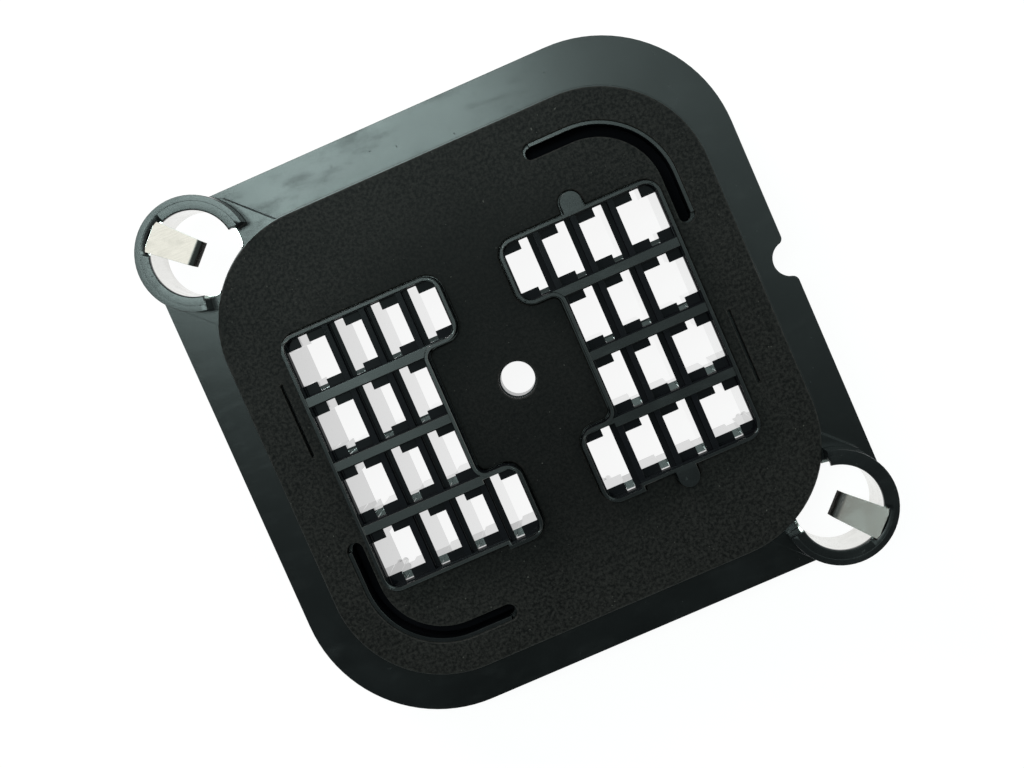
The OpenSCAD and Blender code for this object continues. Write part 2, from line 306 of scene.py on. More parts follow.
@dataclass(frozen=True)
class Pattern:
    """A noise pattern: waves per metre, octaves, weight of the finer octaves, stretch and turn."""

    scale: float
    detail: float = 3.0
    rough: float = 0.55
    stretch: Vec3 | None = None
    turn: float = 0.0

    def over(self, graph: Graph, where: Link) -> Link:
        """Lay the pattern over a surface.

        Args:
            graph: Tree to add nodes to.
            where: Coordinates, in metres.

        Returns:
            The pattern's value.
        """
        if self.stretch:
            turn = (0.0, 0.0, math.radians(self.turn))
            values = {"Vector": where, "Rotation": turn, "Scale": self.stretch}
            where = graph.node("ShaderNodeMapping", None, values)
        values = {"Vector": where, "Scale": self.scale, "Detail": self.detail, "Roughness": self.rough}
        return graph.node("ShaderNodeTexNoise", None, values, "Fac")


@dataclass(frozen=True)
class Marks:
    """What each kind of mark on the moulding adds to a value."""

    cloud: float
    stain: float
    scratch: float = 0.0
    fleck: float = 0.0
    grain: float = 0.0


@dataclass(frozen=True)
class Finish:
    """A finish that is made once and shared by the pieces that have it."""

    name: str

    def build(self) -> bpy.types.Material:
        """Make the material.

        Returns:
            The finished material.
        """
        material, graph = blank(self.name)
        where = graph.node("ShaderNodeTexCoord", None, None, "Object")
        graph.node("ShaderNodeOutputMaterial", None, {"Surface": self.surface(graph, where)})
        return material

    def surface(self, graph: Graph, where: Link) -> Link:
        """Make the shader of the finish.

        Args:
            graph: Tree to add nodes to.
            where: Object coordinates.

        Returns:
            The shader's output.
        """
        raise NotImplementedError


@dataclass(frozen=True)
class MouldedPlastic(Finish):
    """Smooth black moulded plastic with stains and a little wear."""

    # How much paler the rounded edge faces are; on the housing this is wear.
    edge_lightening: float = 0.0
    deep: Colour = (0.0032, 0.0036, 0.0042)
    worn: Colour = (0.017, 0.0195, 0.0205)
    # Colour of the painted shade: a dark matte coat for the grooves and the cavities' decks, which lie in
    # shade.
    painted_shade: Colour = (0.0090, 0.0092, 0.0115)

    cloud: Pattern = Pattern(90.0, 4.0)
    grain: Pattern = Pattern(4200.0, 2.0)
    stain: Pattern = Pattern(300.0, 5.0, 0.65, (0.5, 1.3, 1.0), 17.0)
    scratch: Pattern = Pattern(120.0, 4.0, 0.6, (1.0, 11.0, 1.0), 31.0)
    fleck: Pattern = Pattern(900.0, 2.0, 0.4)
    clouded: Range = (0.45, 0.75)
    stained: Range = (0.48, 0.78)
    scratched: Range = (0.66, 0.78)
    flecked: Range = (0.69, 0.76)
    fleck_patch: Range = (0.42, 0.62)
    rubbing: Marks = Marks(cloud=0.3, stain=0.12, scratch=0.15, fleck=0.5)
    dulling: Marks = Marks(cloud=0.08, stain=0.06, fleck=0.12)
    relief: Marks = Marks(cloud=0.6, stain=0.3, scratch=0.2, grain=0.35)
    edge_dulling: float = 0.1
    gloss: float = 0.17
    core_gloss: float = 0.045
    index: float = 1.52
    coat_gloss: float = 0.03
    coat_index: float = 1.7
    bump_strength: float = 0.10
    bump_depth: float = 0.06 * MM

    core_x: Range = (5.6 * MM, 31.7 * MM)
    core_y: Range = (-23.4 * MM, 20.2 * MM)
    core_z: Range = (21.4 * MM, 20.8 * MM)
    recess_x: Range = (10.0 * MM, 37.8 * MM)
    recess_y: Range = (-36.6 * MM, 35.0 * MM)
    recess_z: Range = (13.2 * MM, 18.95 * MM)
    recess_reach: Range = (66.0 * MM, 65.0 * MM)
    deck_z: Range = (20.8 * MM, 23.3 * MM)
    # Share of painted shade on the cavities' decks.
    deck_painted_shade: float = 0.85
    bar_z: Range = (23.32 * MM, 23.5 * MM)
    bar_x: Range = (10.0 * MM, -10.0 * MM)
    bar_low: float = 0.25

    def surface(self, graph: Graph, where: Link) -> Link:
        """Cloudy gloss, stains and pale rubbed flecks, with bright cavity walls, and painted shade (a dark
        matte coat) in the grooves and on the cavities' decks.

        Args:
            graph: Tree to add nodes to.
            where: Object coordinates.

        Returns:
            The shader's output.
        """
        cloud = self.cloud.over(graph, where)
        grain = self.grain.over(graph, where)
        stain = self.stain.over(graph, where).step(*self.stained)
        scratch = self.scratch.over(graph, where).step(*self.scratched)
        fleck = self.fleck.over(graph, where).step(*self.flecked) * cloud.step(*self.fleck_patch)

        share = self.rubbing
        rub = cloud.step(*self.clouded) * share.cloud + stain * share.stain
        rub = rub + scratch * share.scratch + fleck * share.fleck + self.edge_lightening
        share = self.dulling
        dull = self.gloss + cloud * share.cloud + stain * share.stain + fleck * share.fleck
        dull = dull + self.edge_lightening * self.edge_dulling
        share = self.relief
        height = grain * share.grain + scratch * share.scratch + stain * share.stain + cloud * share.cloud

        core, painted_shade, bar = self._zones(*graph.axes(where))
        plastic = graph.node("ShaderNodeBsdfPrincipled", None, {
            "Base Color": graph.mix(rub, self.deep, self.worn),
            "Roughness": dull * (1.0 - core) + core * self.core_gloss,
            "IOR": self.index,
            "Normal": graph.bump(height, self.bump_strength, self.bump_depth),
            "Coat Weight": core.maximum(bar),
            "Coat Roughness": self.coat_gloss,
            "Coat IOR": self.coat_index})
        # Painted shade: a dark matte coat over the grooves and the cavities' decks.
        painted_shade_bsdf = graph.node("ShaderNodeBsdfDiffuse", None, {"Color": opaque(self.painted_shade)})
        return graph.node("ShaderNodeMixShader", None, {0: painted_shade, 1: plastic, 2: painted_shade_bsdf})

    def _zones(self, x: Link, y: Link, z: Link) -> tuple[Link, Link, Link]:
        """Tell the zones of the moulding that differ from its plain skin.

        Args:
            x: Place along the rows.
            y: Place across the rows.
            z: Height.

        Returns:
            The cavities' walls, the grooves and decks that get painted shade, and the bars' tops, each from
            0 to 1.
        """
        side = x.absolute()
        shroud = side.within(*self.core_x) * y.within(*self.core_y)
        core = shroud * z.step(*self.core_z)
        # Mask of painted shade in the arc grooves; the decks are added on the return line.
        groove = side.within(*self.recess_x) * y.within(*self.recess_y) * z.within(*self.recess_z)
        groove = groove * (1.0 - core) * (side + y.absolute()).step(*self.recess_reach)
        deck = shroud * z.within(*self.deck_z)
        bar = shroud * z.step(*self.bar_z) * x.step(*self.bar_x).lifted(self.bar_low)
        return core, groove.maximum(deck * self.deck_painted_shade), bar


@dataclass(frozen=True)
class FoamRubber(Finish):
    """Matte closed-cell foam with a fine broken grain and a little dust."""

    # How much paler the rounded edge faces are: partly frayed cut foam, partly a painted highlight along
    # the rim.
    edge_lightening: float = 0.0
    dark: Colour = (0.0022, 0.0021, 0.0021)
    light: Colour = (0.036, 0.0335, 0.0310)
    dust: Colour = (0.20, 0.19, 0.17)

    patch: Pattern = Pattern(55.0, 4.0)
    pore: Pattern = Pattern(1900.0, 3.0, 0.75)
    cell: Pattern = Pattern(1100.0, 2.0, 0.6)
    speck: Pattern = Pattern(2300.0, 1.0, 0.3)
    patched: Range = (0.3, 0.75)
    open_pores: Range = (0.34, 0.66)
    specked: Range = (0.775, 0.83)
    # Painted shade: the foam is darker around the middle, between the shrouds, and lighter towards the
    # border.
    painted_shade_ramp: Range = (17.0 * MM, 37.0 * MM)
    pore_share: float = 0.22
    painted_shade_ramp_share: float = 0.46
    patch_share: float = 0.10
    dust_share: float = 0.45
    gloss: float = 0.36
    pore_gloss: float = 0.14
    pore_height: float = 0.7
    cell_height: float = 0.6
    bump_strength: float = 0.32
    bump_depth: float = 0.1 * MM
    index: float = 1.42
    sheen_level: float = 0.14

    def surface(self, graph: Graph, where: Link) -> Link:
        """Pores and broken cells, with painted shade around the middle that lightens towards the border,
        and pale dust.

        Args:
            graph: Tree to add nodes to.
            where: Object coordinates.

        Returns:
            The shader's output.
        """
        patch = self.patch.over(graph, where).step(*self.patched)
        pore = self.pore.over(graph, where)
        cell = self.cell.over(graph, where)
        speck = self.speck.over(graph, where).step(*self.specked)
        x, y, _ = graph.axes(where)
        # Painted shade around the middle, fading out towards the border.
        near, far = self.painted_shade_ramp
        painted_shade_ramp = (x * x + y * y).step(near ** 2, far ** 2)
        tone = pore.step(*self.open_pores) * (self.pore_share + painted_shade_ramp * self.painted_shade_ramp_share)
        # Paler rounded edges; on the gasket this is partly a painted highlight along the rim.
        tone = tone + patch * self.patch_share + self.edge_lightening
        foam = graph.mix(tone, self.dark, self.light)
        height = pore * self.pore_height + cell * self.cell_height
        return graph.node("ShaderNodeBsdfPrincipled", None, {
            "Base Color": graph.mix(speck * self.dust_share, foam, self.dust),
            "Roughness": self.gloss + pore * self.pore_gloss,
            "IOR": self.index,
            "Specular IOR Level": self.sheen_level,
            "Normal": graph.bump(height, self.bump_strength, self.bump_depth)})


@dataclass(frozen=True)
class SpringSteel(Finish):
    """Satin plated spring steel with faint rolling lines."""

    bright: Colour = (0.74, 0.73, 0.70)
    dull: Colour = (0.52, 0.51, 0.48)

    lines: Pattern = Pattern(420.0, 3.0, 0.6, (1.0, 18.0, 1.0), 45.0)
    patch: Pattern = Pattern(260.0)
    lined: Range = (0.40, 0.75)
    patched: Range = (0.45, 0.75)
    line_share: float = 0.22
    patch_share: float = 0.3
    gloss: float = 0.15
    dull_gloss: float = 0.16
    bump_strength: float = 0.05
    bump_depth: float = 0.03 * MM

    def surface(self, graph: Graph, where: Link) -> Link:
        """Bright metal with rolling lines and dull patches.

        Args:
            graph: Tree to add nodes to.
            where: Object coordinates.

        Returns:
            The shader's output.
        """
        lines = self.lines.over(graph, where)
        patch = self.patch.over(graph, where)
        dullness = lines.step(*self.lined) * self.line_share + patch.step(*self.patched) * self.patch_share
        return graph.node("ShaderNodeBsdfPrincipled", None, {
            "Base Color": graph.mix(dullness, self.bright, self.dull),
            "Metallic": 1.0,
            "Roughness": self.gloss + dullness * self.dull_gloss,
            "Normal": graph.bump(lines, self.bump_strength, self.bump_depth)})


def placed(mesh: bpy.types.Mesh) -> bpy.types.Object:
    """Put a mesh into the scene.

    Args:
        mesh: Mesh that is already where it belongs.

    Returns:
        Its object, of the same name.
    """
    piece = bpy.data.objects.new(mesh.name, mesh)
    bpy.context.scene.collection.objects.link(piece)
    return piece


def dotted(name: str, places: Sequence[Vec3]) -> bpy.types.Object:
    """Put a piece of loose points into the scene.

    Args:
        name: Name of the piece.
        places: Where its points are.

    Returns:
        The piece.
    """
    mesh = bpy.data.meshes.new(name)
    mesh.from_pydata(places, [], [])
    return placed(mesh)


def freeze(piece: bpy.types.Object) -> None:
    """Turn what a piece's modifiers make into its own plain mesh.

    Args:
        piece: Object whose modifiers are applied and removed.
    """
    graph = bpy.context.evaluated_depsgraph_get()
    graph.update()
    mesh = bpy.data.meshes.new_from_object(piece.evaluated_get(graph), depsgraph=graph)
    piece.modifiers.clear()
    piece.data = mesh
    mesh.name = piece.name


def shade(piece: bpy.types.Object, crease: float) -> None:
    """Keep flats flat between rounded edges.

    Args:
        piece: Object that is shaded.
        crease: Angle in degrees above which an edge stays sharp.
    """
    piece.data.set_sharp_from_angle(angle=math.radians(crease))
    shading = piece.modifiers.new("shading", "WEIGHTED_NORMAL")
    shading.keep_sharp = True
    freeze(piece)


def attach(piece: bpy.types.Object, body: Body = Body.ROOT) -> None:
    """Let a piece ride on a body.

    Args:
        piece: The finished piece.
        body: Body that it moves with.
    """
    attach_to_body(piece, body.value)


@dataclass
class Softener:
    """Makes a copy of a CAD node with its sharp edges rounded, as a mould or a press leaves them."""

    width: float
    segments: int = 2
    angle: float = 34.0
    crease: float = 19.0
    merge: float = 0.02 * MM
    flat: float = 0.5

    def copy(self, node: str, name: str, finishes: Sequence[bpy.types.Material],
             reshape: Callable[[Vector], Vector] | None = None) -> bpy.types.Object:
        """Copy a node's mesh, merge it and round its edges.

        Args:
            node: Name of the CAD node.
            name: Name of the new piece.
            finishes: Material of the faces and, if there are two, of the rounded edges.
            reshape: Gives the new place of each point, before the edges are rounded.

        Returns:
            The new piece, which stands for the node.
        """
        mesh = bpy.data.meshes.new(name)
        self._fill(mesh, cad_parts[node].data)
        if reshape:
            for vert in mesh.vertices:
                vert.co = reshape(vert.co)
        for finish in finishes:
            mesh.materials.append(finish)
        piece = placed(mesh)
        rounding = piece.modifiers.new("rounding", "BEVEL")
        rounding.width = self.width
        rounding.segments = self.segments
        rounding.limit_method = "ANGLE"
        rounding.angle_limit = math.radians(self.angle)
        rounding.use_clamp_overlap = False
        rounding.loop_slide = False
        rounding.material = len(finishes) - 1 if len(finishes) > 1 else -1
        freeze(piece)
        shade(piece, self.crease)
        return piece

    def _fill(self, mesh: bpy.types.Mesh, source: bpy.types.Mesh) -> None:
        """Merge loose triangles into one smooth-shaded skin.

        Args:
            mesh: Mesh that is filled.
            source: Mesh of loose triangles, which stays as it is.
        """
        work = bmesh.new()
        work.from_mesh(source)
        bmesh.ops.remove_doubles(work, verts=work.verts, dist=self.merge)
        bmesh.ops.dissolve_degenerate(work, edges=work.edges, dist=self.merge)
        bmesh.ops.join_triangles(work, faces=work.faces, angle_face_threshold=math.radians(self.flat),
                                 angle_shape_threshold=math.pi)
        for face in work.faces:
            face.smooth = True
            face.material_index = 0
        work.to_mesh(mesh)
        work.free()
        if "custom_normal" in mesh.attributes:
            mesh.attributes.remove(mesh.attributes["custom_normal"])


@dataclass
class Shroud:
    """Layout of one terminal shroud, on the right of the bolt hole."""

    col_pitch: float = 6.27 * MM
    row_pitch: float = 10.96 * MM
    row_shift: float = -1.15 * MM
    blade_x: float = 29.05 * MM
    blade_t: float = 1.45 * MM
    blade_l: float = 9.15 * MM
    long_blade_l: float = 10.9 * MM
    cell_w: float = 4.3 * MM
    blade_ledge: float = 0.95 * MM
    tab_w: float = 2.25 * MM
    wall: float = 0.8 * MM
    corner_r: float = 2.6 * MM
    inner_r: float = 1.6 * MM
    entry_extra: float = 0.5 * MM
    entry_d: float = 9.5 * MM
    key_x: float = 18.6 * MM
    key_r: float = 1.7 * MM
    key_out: float = 1.4 * MM
    rows: int = 4
    end_cols: int = 4
    mid_cols: int = 3

    def row_y(self, row: int) -> float:
        """Place of a row, counted from the top."""
        return self.row_shift + ((self.rows - 1) / 2 - row) * self.row_pitch

    def cells(self) -> list[Vec2]:
        """List the cavities.

        Returns:
            The outer side of each blade slot and its lower end.
        """
        found = []
        for row in range(self.rows):
            at_end = row in (0, self.rows - 1)
            for col in range(self.end_cols if at_end else self.mid_cols):
                is_long = row == self.rows - 1 and col == self.end_cols - 1
                length = self.long_blade_l if is_long else self.blade_l
                found.append((self.blade_x - col * self.col_pitch, self.row_y(row) - length / 2))
        return found

    def outline(self, inset: float, keyed: bool) -> list[Vec3]:
        """Trace the shroud's edge.

        Args:
            inset: Distance inside the edge.
            keyed: Whether the shroud has its two keys.

        Returns:
            Corners as X, Y and the radius of their rounding.
        """
        last = self.row_y(self.rows - 1)
        arm_outer = self.blade_x - (self.end_cols - 1) * self.col_pitch
        outer = self.blade_x + self.tab_w + self.wall - inset
        arm = arm_outer - self.cell_w - self.wall + inset
        waist = arm + self.col_pitch
        jog = arm_outer + self.blade_ledge + self.wall / 2 - inset
        top = self.row_y(0) + self.blade_l / 2 + self.wall - inset
        arm_low = self.row_y(0) - self.blade_l / 2 - self.wall + inset
        long_top = last + self.long_blade_l / 2 + self.wall - inset
        long_low = last - self.long_blade_l / 2 - self.wall + inset
        low = last - self.blade_l / 2 - self.wall + inset
        convex, concave = self.corner_r - inset, self.inner_r + inset
        upper_key = self._key(top, 1, inset) if keyed else []
        lower_key = self._key(low, -1, inset) if keyed else []
        return [
            (outer, top, convex), *upper_key, (arm, top, convex), (arm, arm_low, convex),
            (waist, arm_low, concave), (waist, long_top, concave), (arm, long_top, convex),
            (arm, long_low, convex), (jog, long_low, 0.0), (jog, low, 0.0), *reversed(lower_key),
            (outer, low, convex)]

    def thin_corners(self, radius: float, proud: float) -> list[Vec2]:
        """Place a post in each rounded corner, where the terminals' entries leave hardly any wall.

        Args:
            radius: Radius of the posts.
            proud: How far they stand out of the rounding.

        Returns:
            The posts' centres.
        """
        side_wall = self.wall / self.corner_r
        end_wall = (self.wall - self.entry_extra / 2) / self.corner_r
        lean = (math.acos(1.0 - side_wall) + math.asin(1.0 - end_wall)) / 2
        reach = self.corner_r - radius + proud
        in_x, in_y = self.corner_r - reach * math.cos(lean), self.corner_r - reach * math.sin(lean)
        edge = self.outline(0.0, False)
        found = []
        for i, (x, y, r) in enumerate(edge):
            before, after = edge[i - 1], edge[(i + 1) % len(edge)]
            if r == self.corner_r:
                found.append((x + math.copysign(in_x, before[0] + after[0] - 2 * x),
                              y + math.copysign(in_y, before[1] + after[1] - 2 * y)))
        return found

    def _key(self, edge_y: float, way: int, inset: float) -> list[Vec3]:
        """Trace the key on one end of the shroud.

        Args:
            edge_y: The edge that the key stands on.
            way: 1 for the upper end and -1 for the lower one.
            inset: Distance inside the edge.

        Returns:
            Corners from the key's outer side to its inner one, as X, Y and radius.
        """
        reach = edge_y + way * (self.key_out + self.key_r)
        half = self.key_r - inset
        sides = ((half, edge_y, 0.0), (half, reach, half), (-half, reach, half), (-half, edge_y, 0.0))
        return [(self.key_x + x, y, r) for x, y, r in sides]


@dataclass
class LipBead:
    """The round bead along the lips of both shrouds."""

    lip: float = 0.55 * MM
    radius: float = 0.33 * MM
    top_z: float = 24.0 * MM
    corner_steps: int = 6
    round_steps: int = 12

    def build(self, finish: bpy.types.Material) -> bpy.types.Object:
        """Make the bead.

        Args:
            finish: Material of the bead.

        Returns:
            The piece, in place.
        """
        bead = self._path()
        tree = ShapeTree("lip_bead", {"Bead radius": self.radius})
        path = tree.node("GeometryNodeMeshToCurve", None, {0: tree.given()})
        corner = tree.node("GeometryNodeInputNamedAttribute", {"data_type": "FLOAT"}, {"Name": "corner_r"})
        path = tree.node("GeometryNodeFilletCurve", {"mode": "POLY"}, {
            "Curve": path, "Count": self.corner_steps, "Radius": corner, "Limit Radius": True})
        ring = tree.node("GeometryNodeCurvePrimitiveCircle", {"mode": "RADIUS"}, {
            "Resolution": self.round_steps, "Radius": tree.given("Bead radius")})
        skin = tree.node("GeometryNodeCurveToMesh", None, {"Curve": path, "Profile Curve": ring})
        tree.close(skin, finish)
        tree.run(bead)
        return bead

    def _path(self) -> bpy.types.Object:
        """Draw the lips' middle lines, with the rounding of each corner as an attribute.

        Returns:
            The piece, as loops of edges.
        """
        mesh = bpy.data.meshes.new("shroud_lip_bead")
        work = bmesh.new()
        radius = work.verts.layers.float.new("corner_r")
        for side in SIDES:
            loop = []
            for x, y, r in Shroud().outline(self.lip / 2, side > 0):
                vert = work.verts.new((side * x, y, self.top_z - self.radius))
                vert[radius] = r
                loop.append(vert)
            for i, vert in enumerate(loop):
                work.edges.new((loop[i - 1], vert))
        work.to_mesh(mesh)
        work.free()
        return placed(mesh)


@dataclass
class LockingRamps:
    """The ramps that hold the terminals, one on the lower wall of each blade slot."""

    radius: float = 0.5 * MM
    stretch: float = 4.0
    middle_z: float = 14.0 * MM
    sunk: float = 0.06 * MM

    def build(self, finish: bpy.types.Material) -> bpy.types.Object:
        """Make the ramps.

        Args:
            finish: Material of the ramps.

        Returns:
            The piece, in place.
        """
        layout = Shroud()
        stand = self.radius / 2 - self.sunk
        ramps = dotted("cavity_ramps", [(side * (x - layout.blade_t / 2), y + stand, self.middle_z)
                                        for side in SIDES for x, y in layout.cells()])
        tree = ShapeTree("locking_ramps", {"Ramp radius": self.radius, "Ramp width": layout.blade_t})
        ramp = tree.prism(3, "Ramp radius", "Ramp width")
        ramp = tree.node("GeometryNodeTransform", None, {
            "Geometry": ramp, "Rotation": (0.0, math.pi / 2, 0.0)})
        ramp = tree.node("GeometryNodeTransform", None, {
            "Geometry": ramp, "Scale": (1.0, 1.0, self.stretch)})
        tree.scatter(ramp, finish)
        tree.run(ramps)
        ramps.data.shade_flat()
        return ramps


@dataclass
class CornerPosts:
    """The posts in the shrouds' rounded corners, beside the terminals' entries."""

    radius: float = 0.6 * MM
    proud: float = 0.015 * MM
    foot_z: float = 0.02 * MM
    round_steps: int = 24
    crease: float = 40.0

    def build(self, finish: bpy.types.Material) -> bpy.types.Object:
        """Make the posts.

        Args:
            finish: Material of the posts.

        Returns:
            The piece, in place.
        """
        layout = Shroud()
        height = layout.entry_d - self.foot_z
        middle = self.foot_z + height / 2
        centres = layout.thin_corners(self.radius, self.proud)
        posts = dotted("corner_posts", [(side * x, y, middle) for side in SIDES for x, y in centres])
        tree = ShapeTree("entry_posts", {"Post radius": self.radius, "Post height": height})
        tree.scatter(tree.prism(self.round_steps, "Post radius", "Post height"), finish)
        tree.run(posts)
        posts.data.set_sharp_from_angle(angle=math.radians(self.crease))
        return posts


@dataclass
class CupCollars:
    """The flat collars over the chamfers in the cups' rims, notched for the spring tongues."""

    tongue_way: float = 135.0
    inner_r: float = 6.72 * MM
    outer_r: float = 8.35 * MM
    wall_r: float = 7.6 * MM
    top_z: float = 23.985 * MM
    foot_z: float = 23.03 * MM
    edge_round: float = 0.2 * MM
    edge_middle: float = 0.29
    notch_half: float = 2.75 * MM
    notch_r: float = 7.45 * MM
    end_angle: float = 125.7
    arc_steps: int = 40
    notch_steps: int = 6
    crease: float = 50.0

    def build(self, finish: bpy.types.Material) -> bpy.types.Object:
        """Make the collars.

        Args:
            finish: Material of the collars.

        Returns:
            The piece, in place.
        """
        mesh = bpy.data.meshes.new("cup_collars")
        mesh.materials.append(finish)
        work = bmesh.new()
        for side in SIDES:
            rings = [[work.verts.new(place) for place in self._ring(angle, side)]
                     for angle in self._angles()]
            for one, two in zip(rings, rings[1:]):
                for i in range(len(one)):
                    work.faces.new((one[i - 1], one[i], two[i], two[i - 1])).smooth = True
            work.faces.new(rings[0])
            work.faces.new(rings[-1])
        bmesh.ops.recalc_face_normals(work, faces=work.faces)
        work.to_mesh(mesh)
        work.free()
        collars = placed(mesh)
        shade(collars, self.crease)
        return collars

    def _angles(self) -> list[float]:
        """List the angles of a collar's sections, in degrees from the tongue's root.

        Returns:
            The angles in rising order, with one at each corner of the notch.
        """
        back = math.degrees(math.asin(self.notch_half / self.notch_r))
        front = math.degrees(math.asin(self.notch_half / self.inner_r))
        arc = [front + (self.end_angle - front) * i / self.arc_steps for i in range(self.arc_steps + 1)]
        notch = [back * i / self.notch_steps for i in range(-self.notch_steps, self.notch_steps + 1)]
        return [-angle for angle in reversed(arc)] + notch + arc

    def _ring(self, angle: float, side: int) -> list[Vec3]:
        """Trace a collar's section.

        Args:
            angle: Angle in degrees from the tongue's root.
            side: 1 for the upper-left cup and -1 for the lower-right one.

        Returns:
            The section's corners.
        """
        lean = abs(math.sin(math.radians(angle)))
        inner = self.notch_r
        if lean * self.notch_r > self.notch_half:
            inner = max(self.inner_r, self.notch_half / lean)
        top, soft = self.top_z, self.edge_round
        middle = self.edge_middle * soft
        section = ((self.outer_r, top - 2 * soft), (self.outer_r, top), (inner + soft, top),
                   (inner + middle, top - middle), (inner, top - soft), (inner, self.foot_z),
                   (self.wall_r, self.foot_z))
        way = math.radians(self.tongue_way + angle)
        return [(side * (r * math.cos(way) - CUP_AXIS), side * (r * math.sin(way) + CUP_AXIS), z)
                for r, z in section]


@dataclass
class Housing:
    """The moulded housing: its softened shell and the fine forms on it."""

    shell_round: float = 0.07 * MM
    # Wear that pales the rounded edges.
    edge_lightening: float = 0.22

    def build(self) -> list[bpy.types.Object]:
        """Make the housing's pieces.

        Returns:
            The pieces, in place.
        """
        plastic = MouldedPlastic("housing_plastic").build()
        edge = MouldedPlastic("housing_plastic_edge", edge_lightening=self.edge_lightening).build()
        shell = Softener(self.shell_round).copy("housing", "housing_shell", [plastic, edge])
        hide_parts("housing")
        made = [shell, LipBead().build(edge)]
        made += [form.build(plastic) for form in (LockingRamps(), CornerPosts(), CupCollars())]
        for piece in made:
            attach(piece)
        return made


@dataclass
class Gasket:
    """The die-cut foam sheet on the plateau."""

    edge_round: float = 0.22 * MM
    # Paler cut edges of the foam: partly frayed cut foam, partly a painted highlight along the rim.
    edge_lightening: float = 0.35

    def build(self) -> list[bpy.types.Object]:
        """Make the gasket.

        Returns:
            The pieces, in place.
        """
        foam = FoamRubber("gasket_foam").build()
        edge = FoamRubber("gasket_foam_edge", edge_lightening=self.edge_lightening).build()
        sheet = Softener(self.edge_round).copy("gasket", "gasket_sheet", [foam, edge])
        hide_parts("gasket")
        attach(sheet)
        return [sheet]


@dataclass
class Retainers:
    """The two sheet-steel sleeves with their spring tongues."""

    edge_round: float = 0.04 * MM
    sleeve_in: float = 6.6 * MM
    sleeve_top: float = 23.06 * MM
    bend_r: float = 6.25 * MM
    bend_z: float = 22.65 * MM
    bend_reach: float = 1.1 * MM
    bend_turn: float = math.radians(112.0)
    bend_slack: float = 0.01
    drop: float = 0.35 * MM

    def build(self) -> list[bpy.types.Object]:
        """Make both retainers.

        Returns:
            The pieces, in place.
        """
        steel = SpringSteel("retainer_steel").build()
        made = []
        for side, way in (("left", -1), ("right", 1)):
            piece = Softener(self.edge_round).copy(f"retainer_{side}", f"retainer_{side}_sleeve", [steel],
                                                   partial(self._moved, way))
            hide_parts(f"retainer_{side}")
            attach(piece)
            made.append(piece)
        return made

    def _moved(self, way: int, point: Vector) -> Vector:
        """Give the tongue a crisp bend at its root in place of a round one, and leave the sleeve as it is.

        Args:
            way: 1 for the right cup and -1 for the left one.
            point: Point of a retainer.

        Returns:
            Its new place.
        """
        outward = Vector((way, -way, 0.0)).normalized()
        offset = Vector((point.x - way * CUP_AXIS, point.y + way * CUP_AXIS, 0.0))
        if point.z < self.sleeve_top and offset.length > self.sleeve_in:
            return point.copy()
        out, up = offset.dot(outward) - self.bend_r, point.z - self.bend_z
        new_out, new_up = self._unrolled(out, up)
        return point + outward * (new_out - out) + Vector((0.0, 0.0, new_up - up))

    def _unrolled(self, out: float, up: float) -> Vec2:
        """Move a point from the round bend to two straight runs that meet in a corner.

        Args:
            out: Distance outward of the bend's centre.
            up: Height over the bend's centre.

        Returns:
            The new distance and height, with the tongue lowered by its drop.
        """
        angle, reach, turn = math.atan2(up, out), math.hypot(out, up), self.bend_turn
        if angle >= turn + self.bend_slack or reach >= self.bend_reach:
            return out, up - self.drop
        corner = reach * math.tan(turn / 2) - self.drop
        share = 2 * angle / turn
        if share < 1.0:
            return reach, share * corner
        end_out, end_up = reach * math.cos(turn), reach * math.sin(turn) - self.drop
        return reach + (share - 1.0) * (end_out - reach), corner + (share - 1.0) * (end_up - corner)


def facing(place: Vec3, target: Vec3, top: Vec3) -> Matrix:
    """Place a lamp or a camera so that it looks at a point.

    Args:
        place: Where it stands.
        target: Point that it looks at.
        top: Direction that its upper side is turned to.

    Returns:
        Its place and turn.
    """
    back = (Vector(place) - Vector(target)).normalized()
    right = Vector(top).cross(back).normalized()
    turn = Matrix((right, back.cross(right), back)).transposed()
    return Matrix.Translation(Vector(place)) @ turn.to_4x4()


@dataclass(frozen=True)
class Softbox:
    """A rectangular lamp: its place, the point it faces, its size, its watts and its tint."""

    name: str
    place: Vec3
    target: Vec3
    size: Vec2
    power: float
    tint: Colour = WHITE
    top: Vec3 = (0.0, 1.0, 0.0)

    def hang(self) -> None:
        """Put the lamp into the scene."""
        lamp = bpy.data.lights.new(self.name, "AREA")
        lamp.shape = "RECTANGLE"
        lamp.size, lamp.size_y = self.size
        lamp.energy = self.power
        lamp.color = self.tint
        holder = bpy.data.objects.new(self.name, lamp)
        holder.matrix_world = facing(self.place, self.target, self.top)
        bpy.context.scene.collection.objects.link(holder)


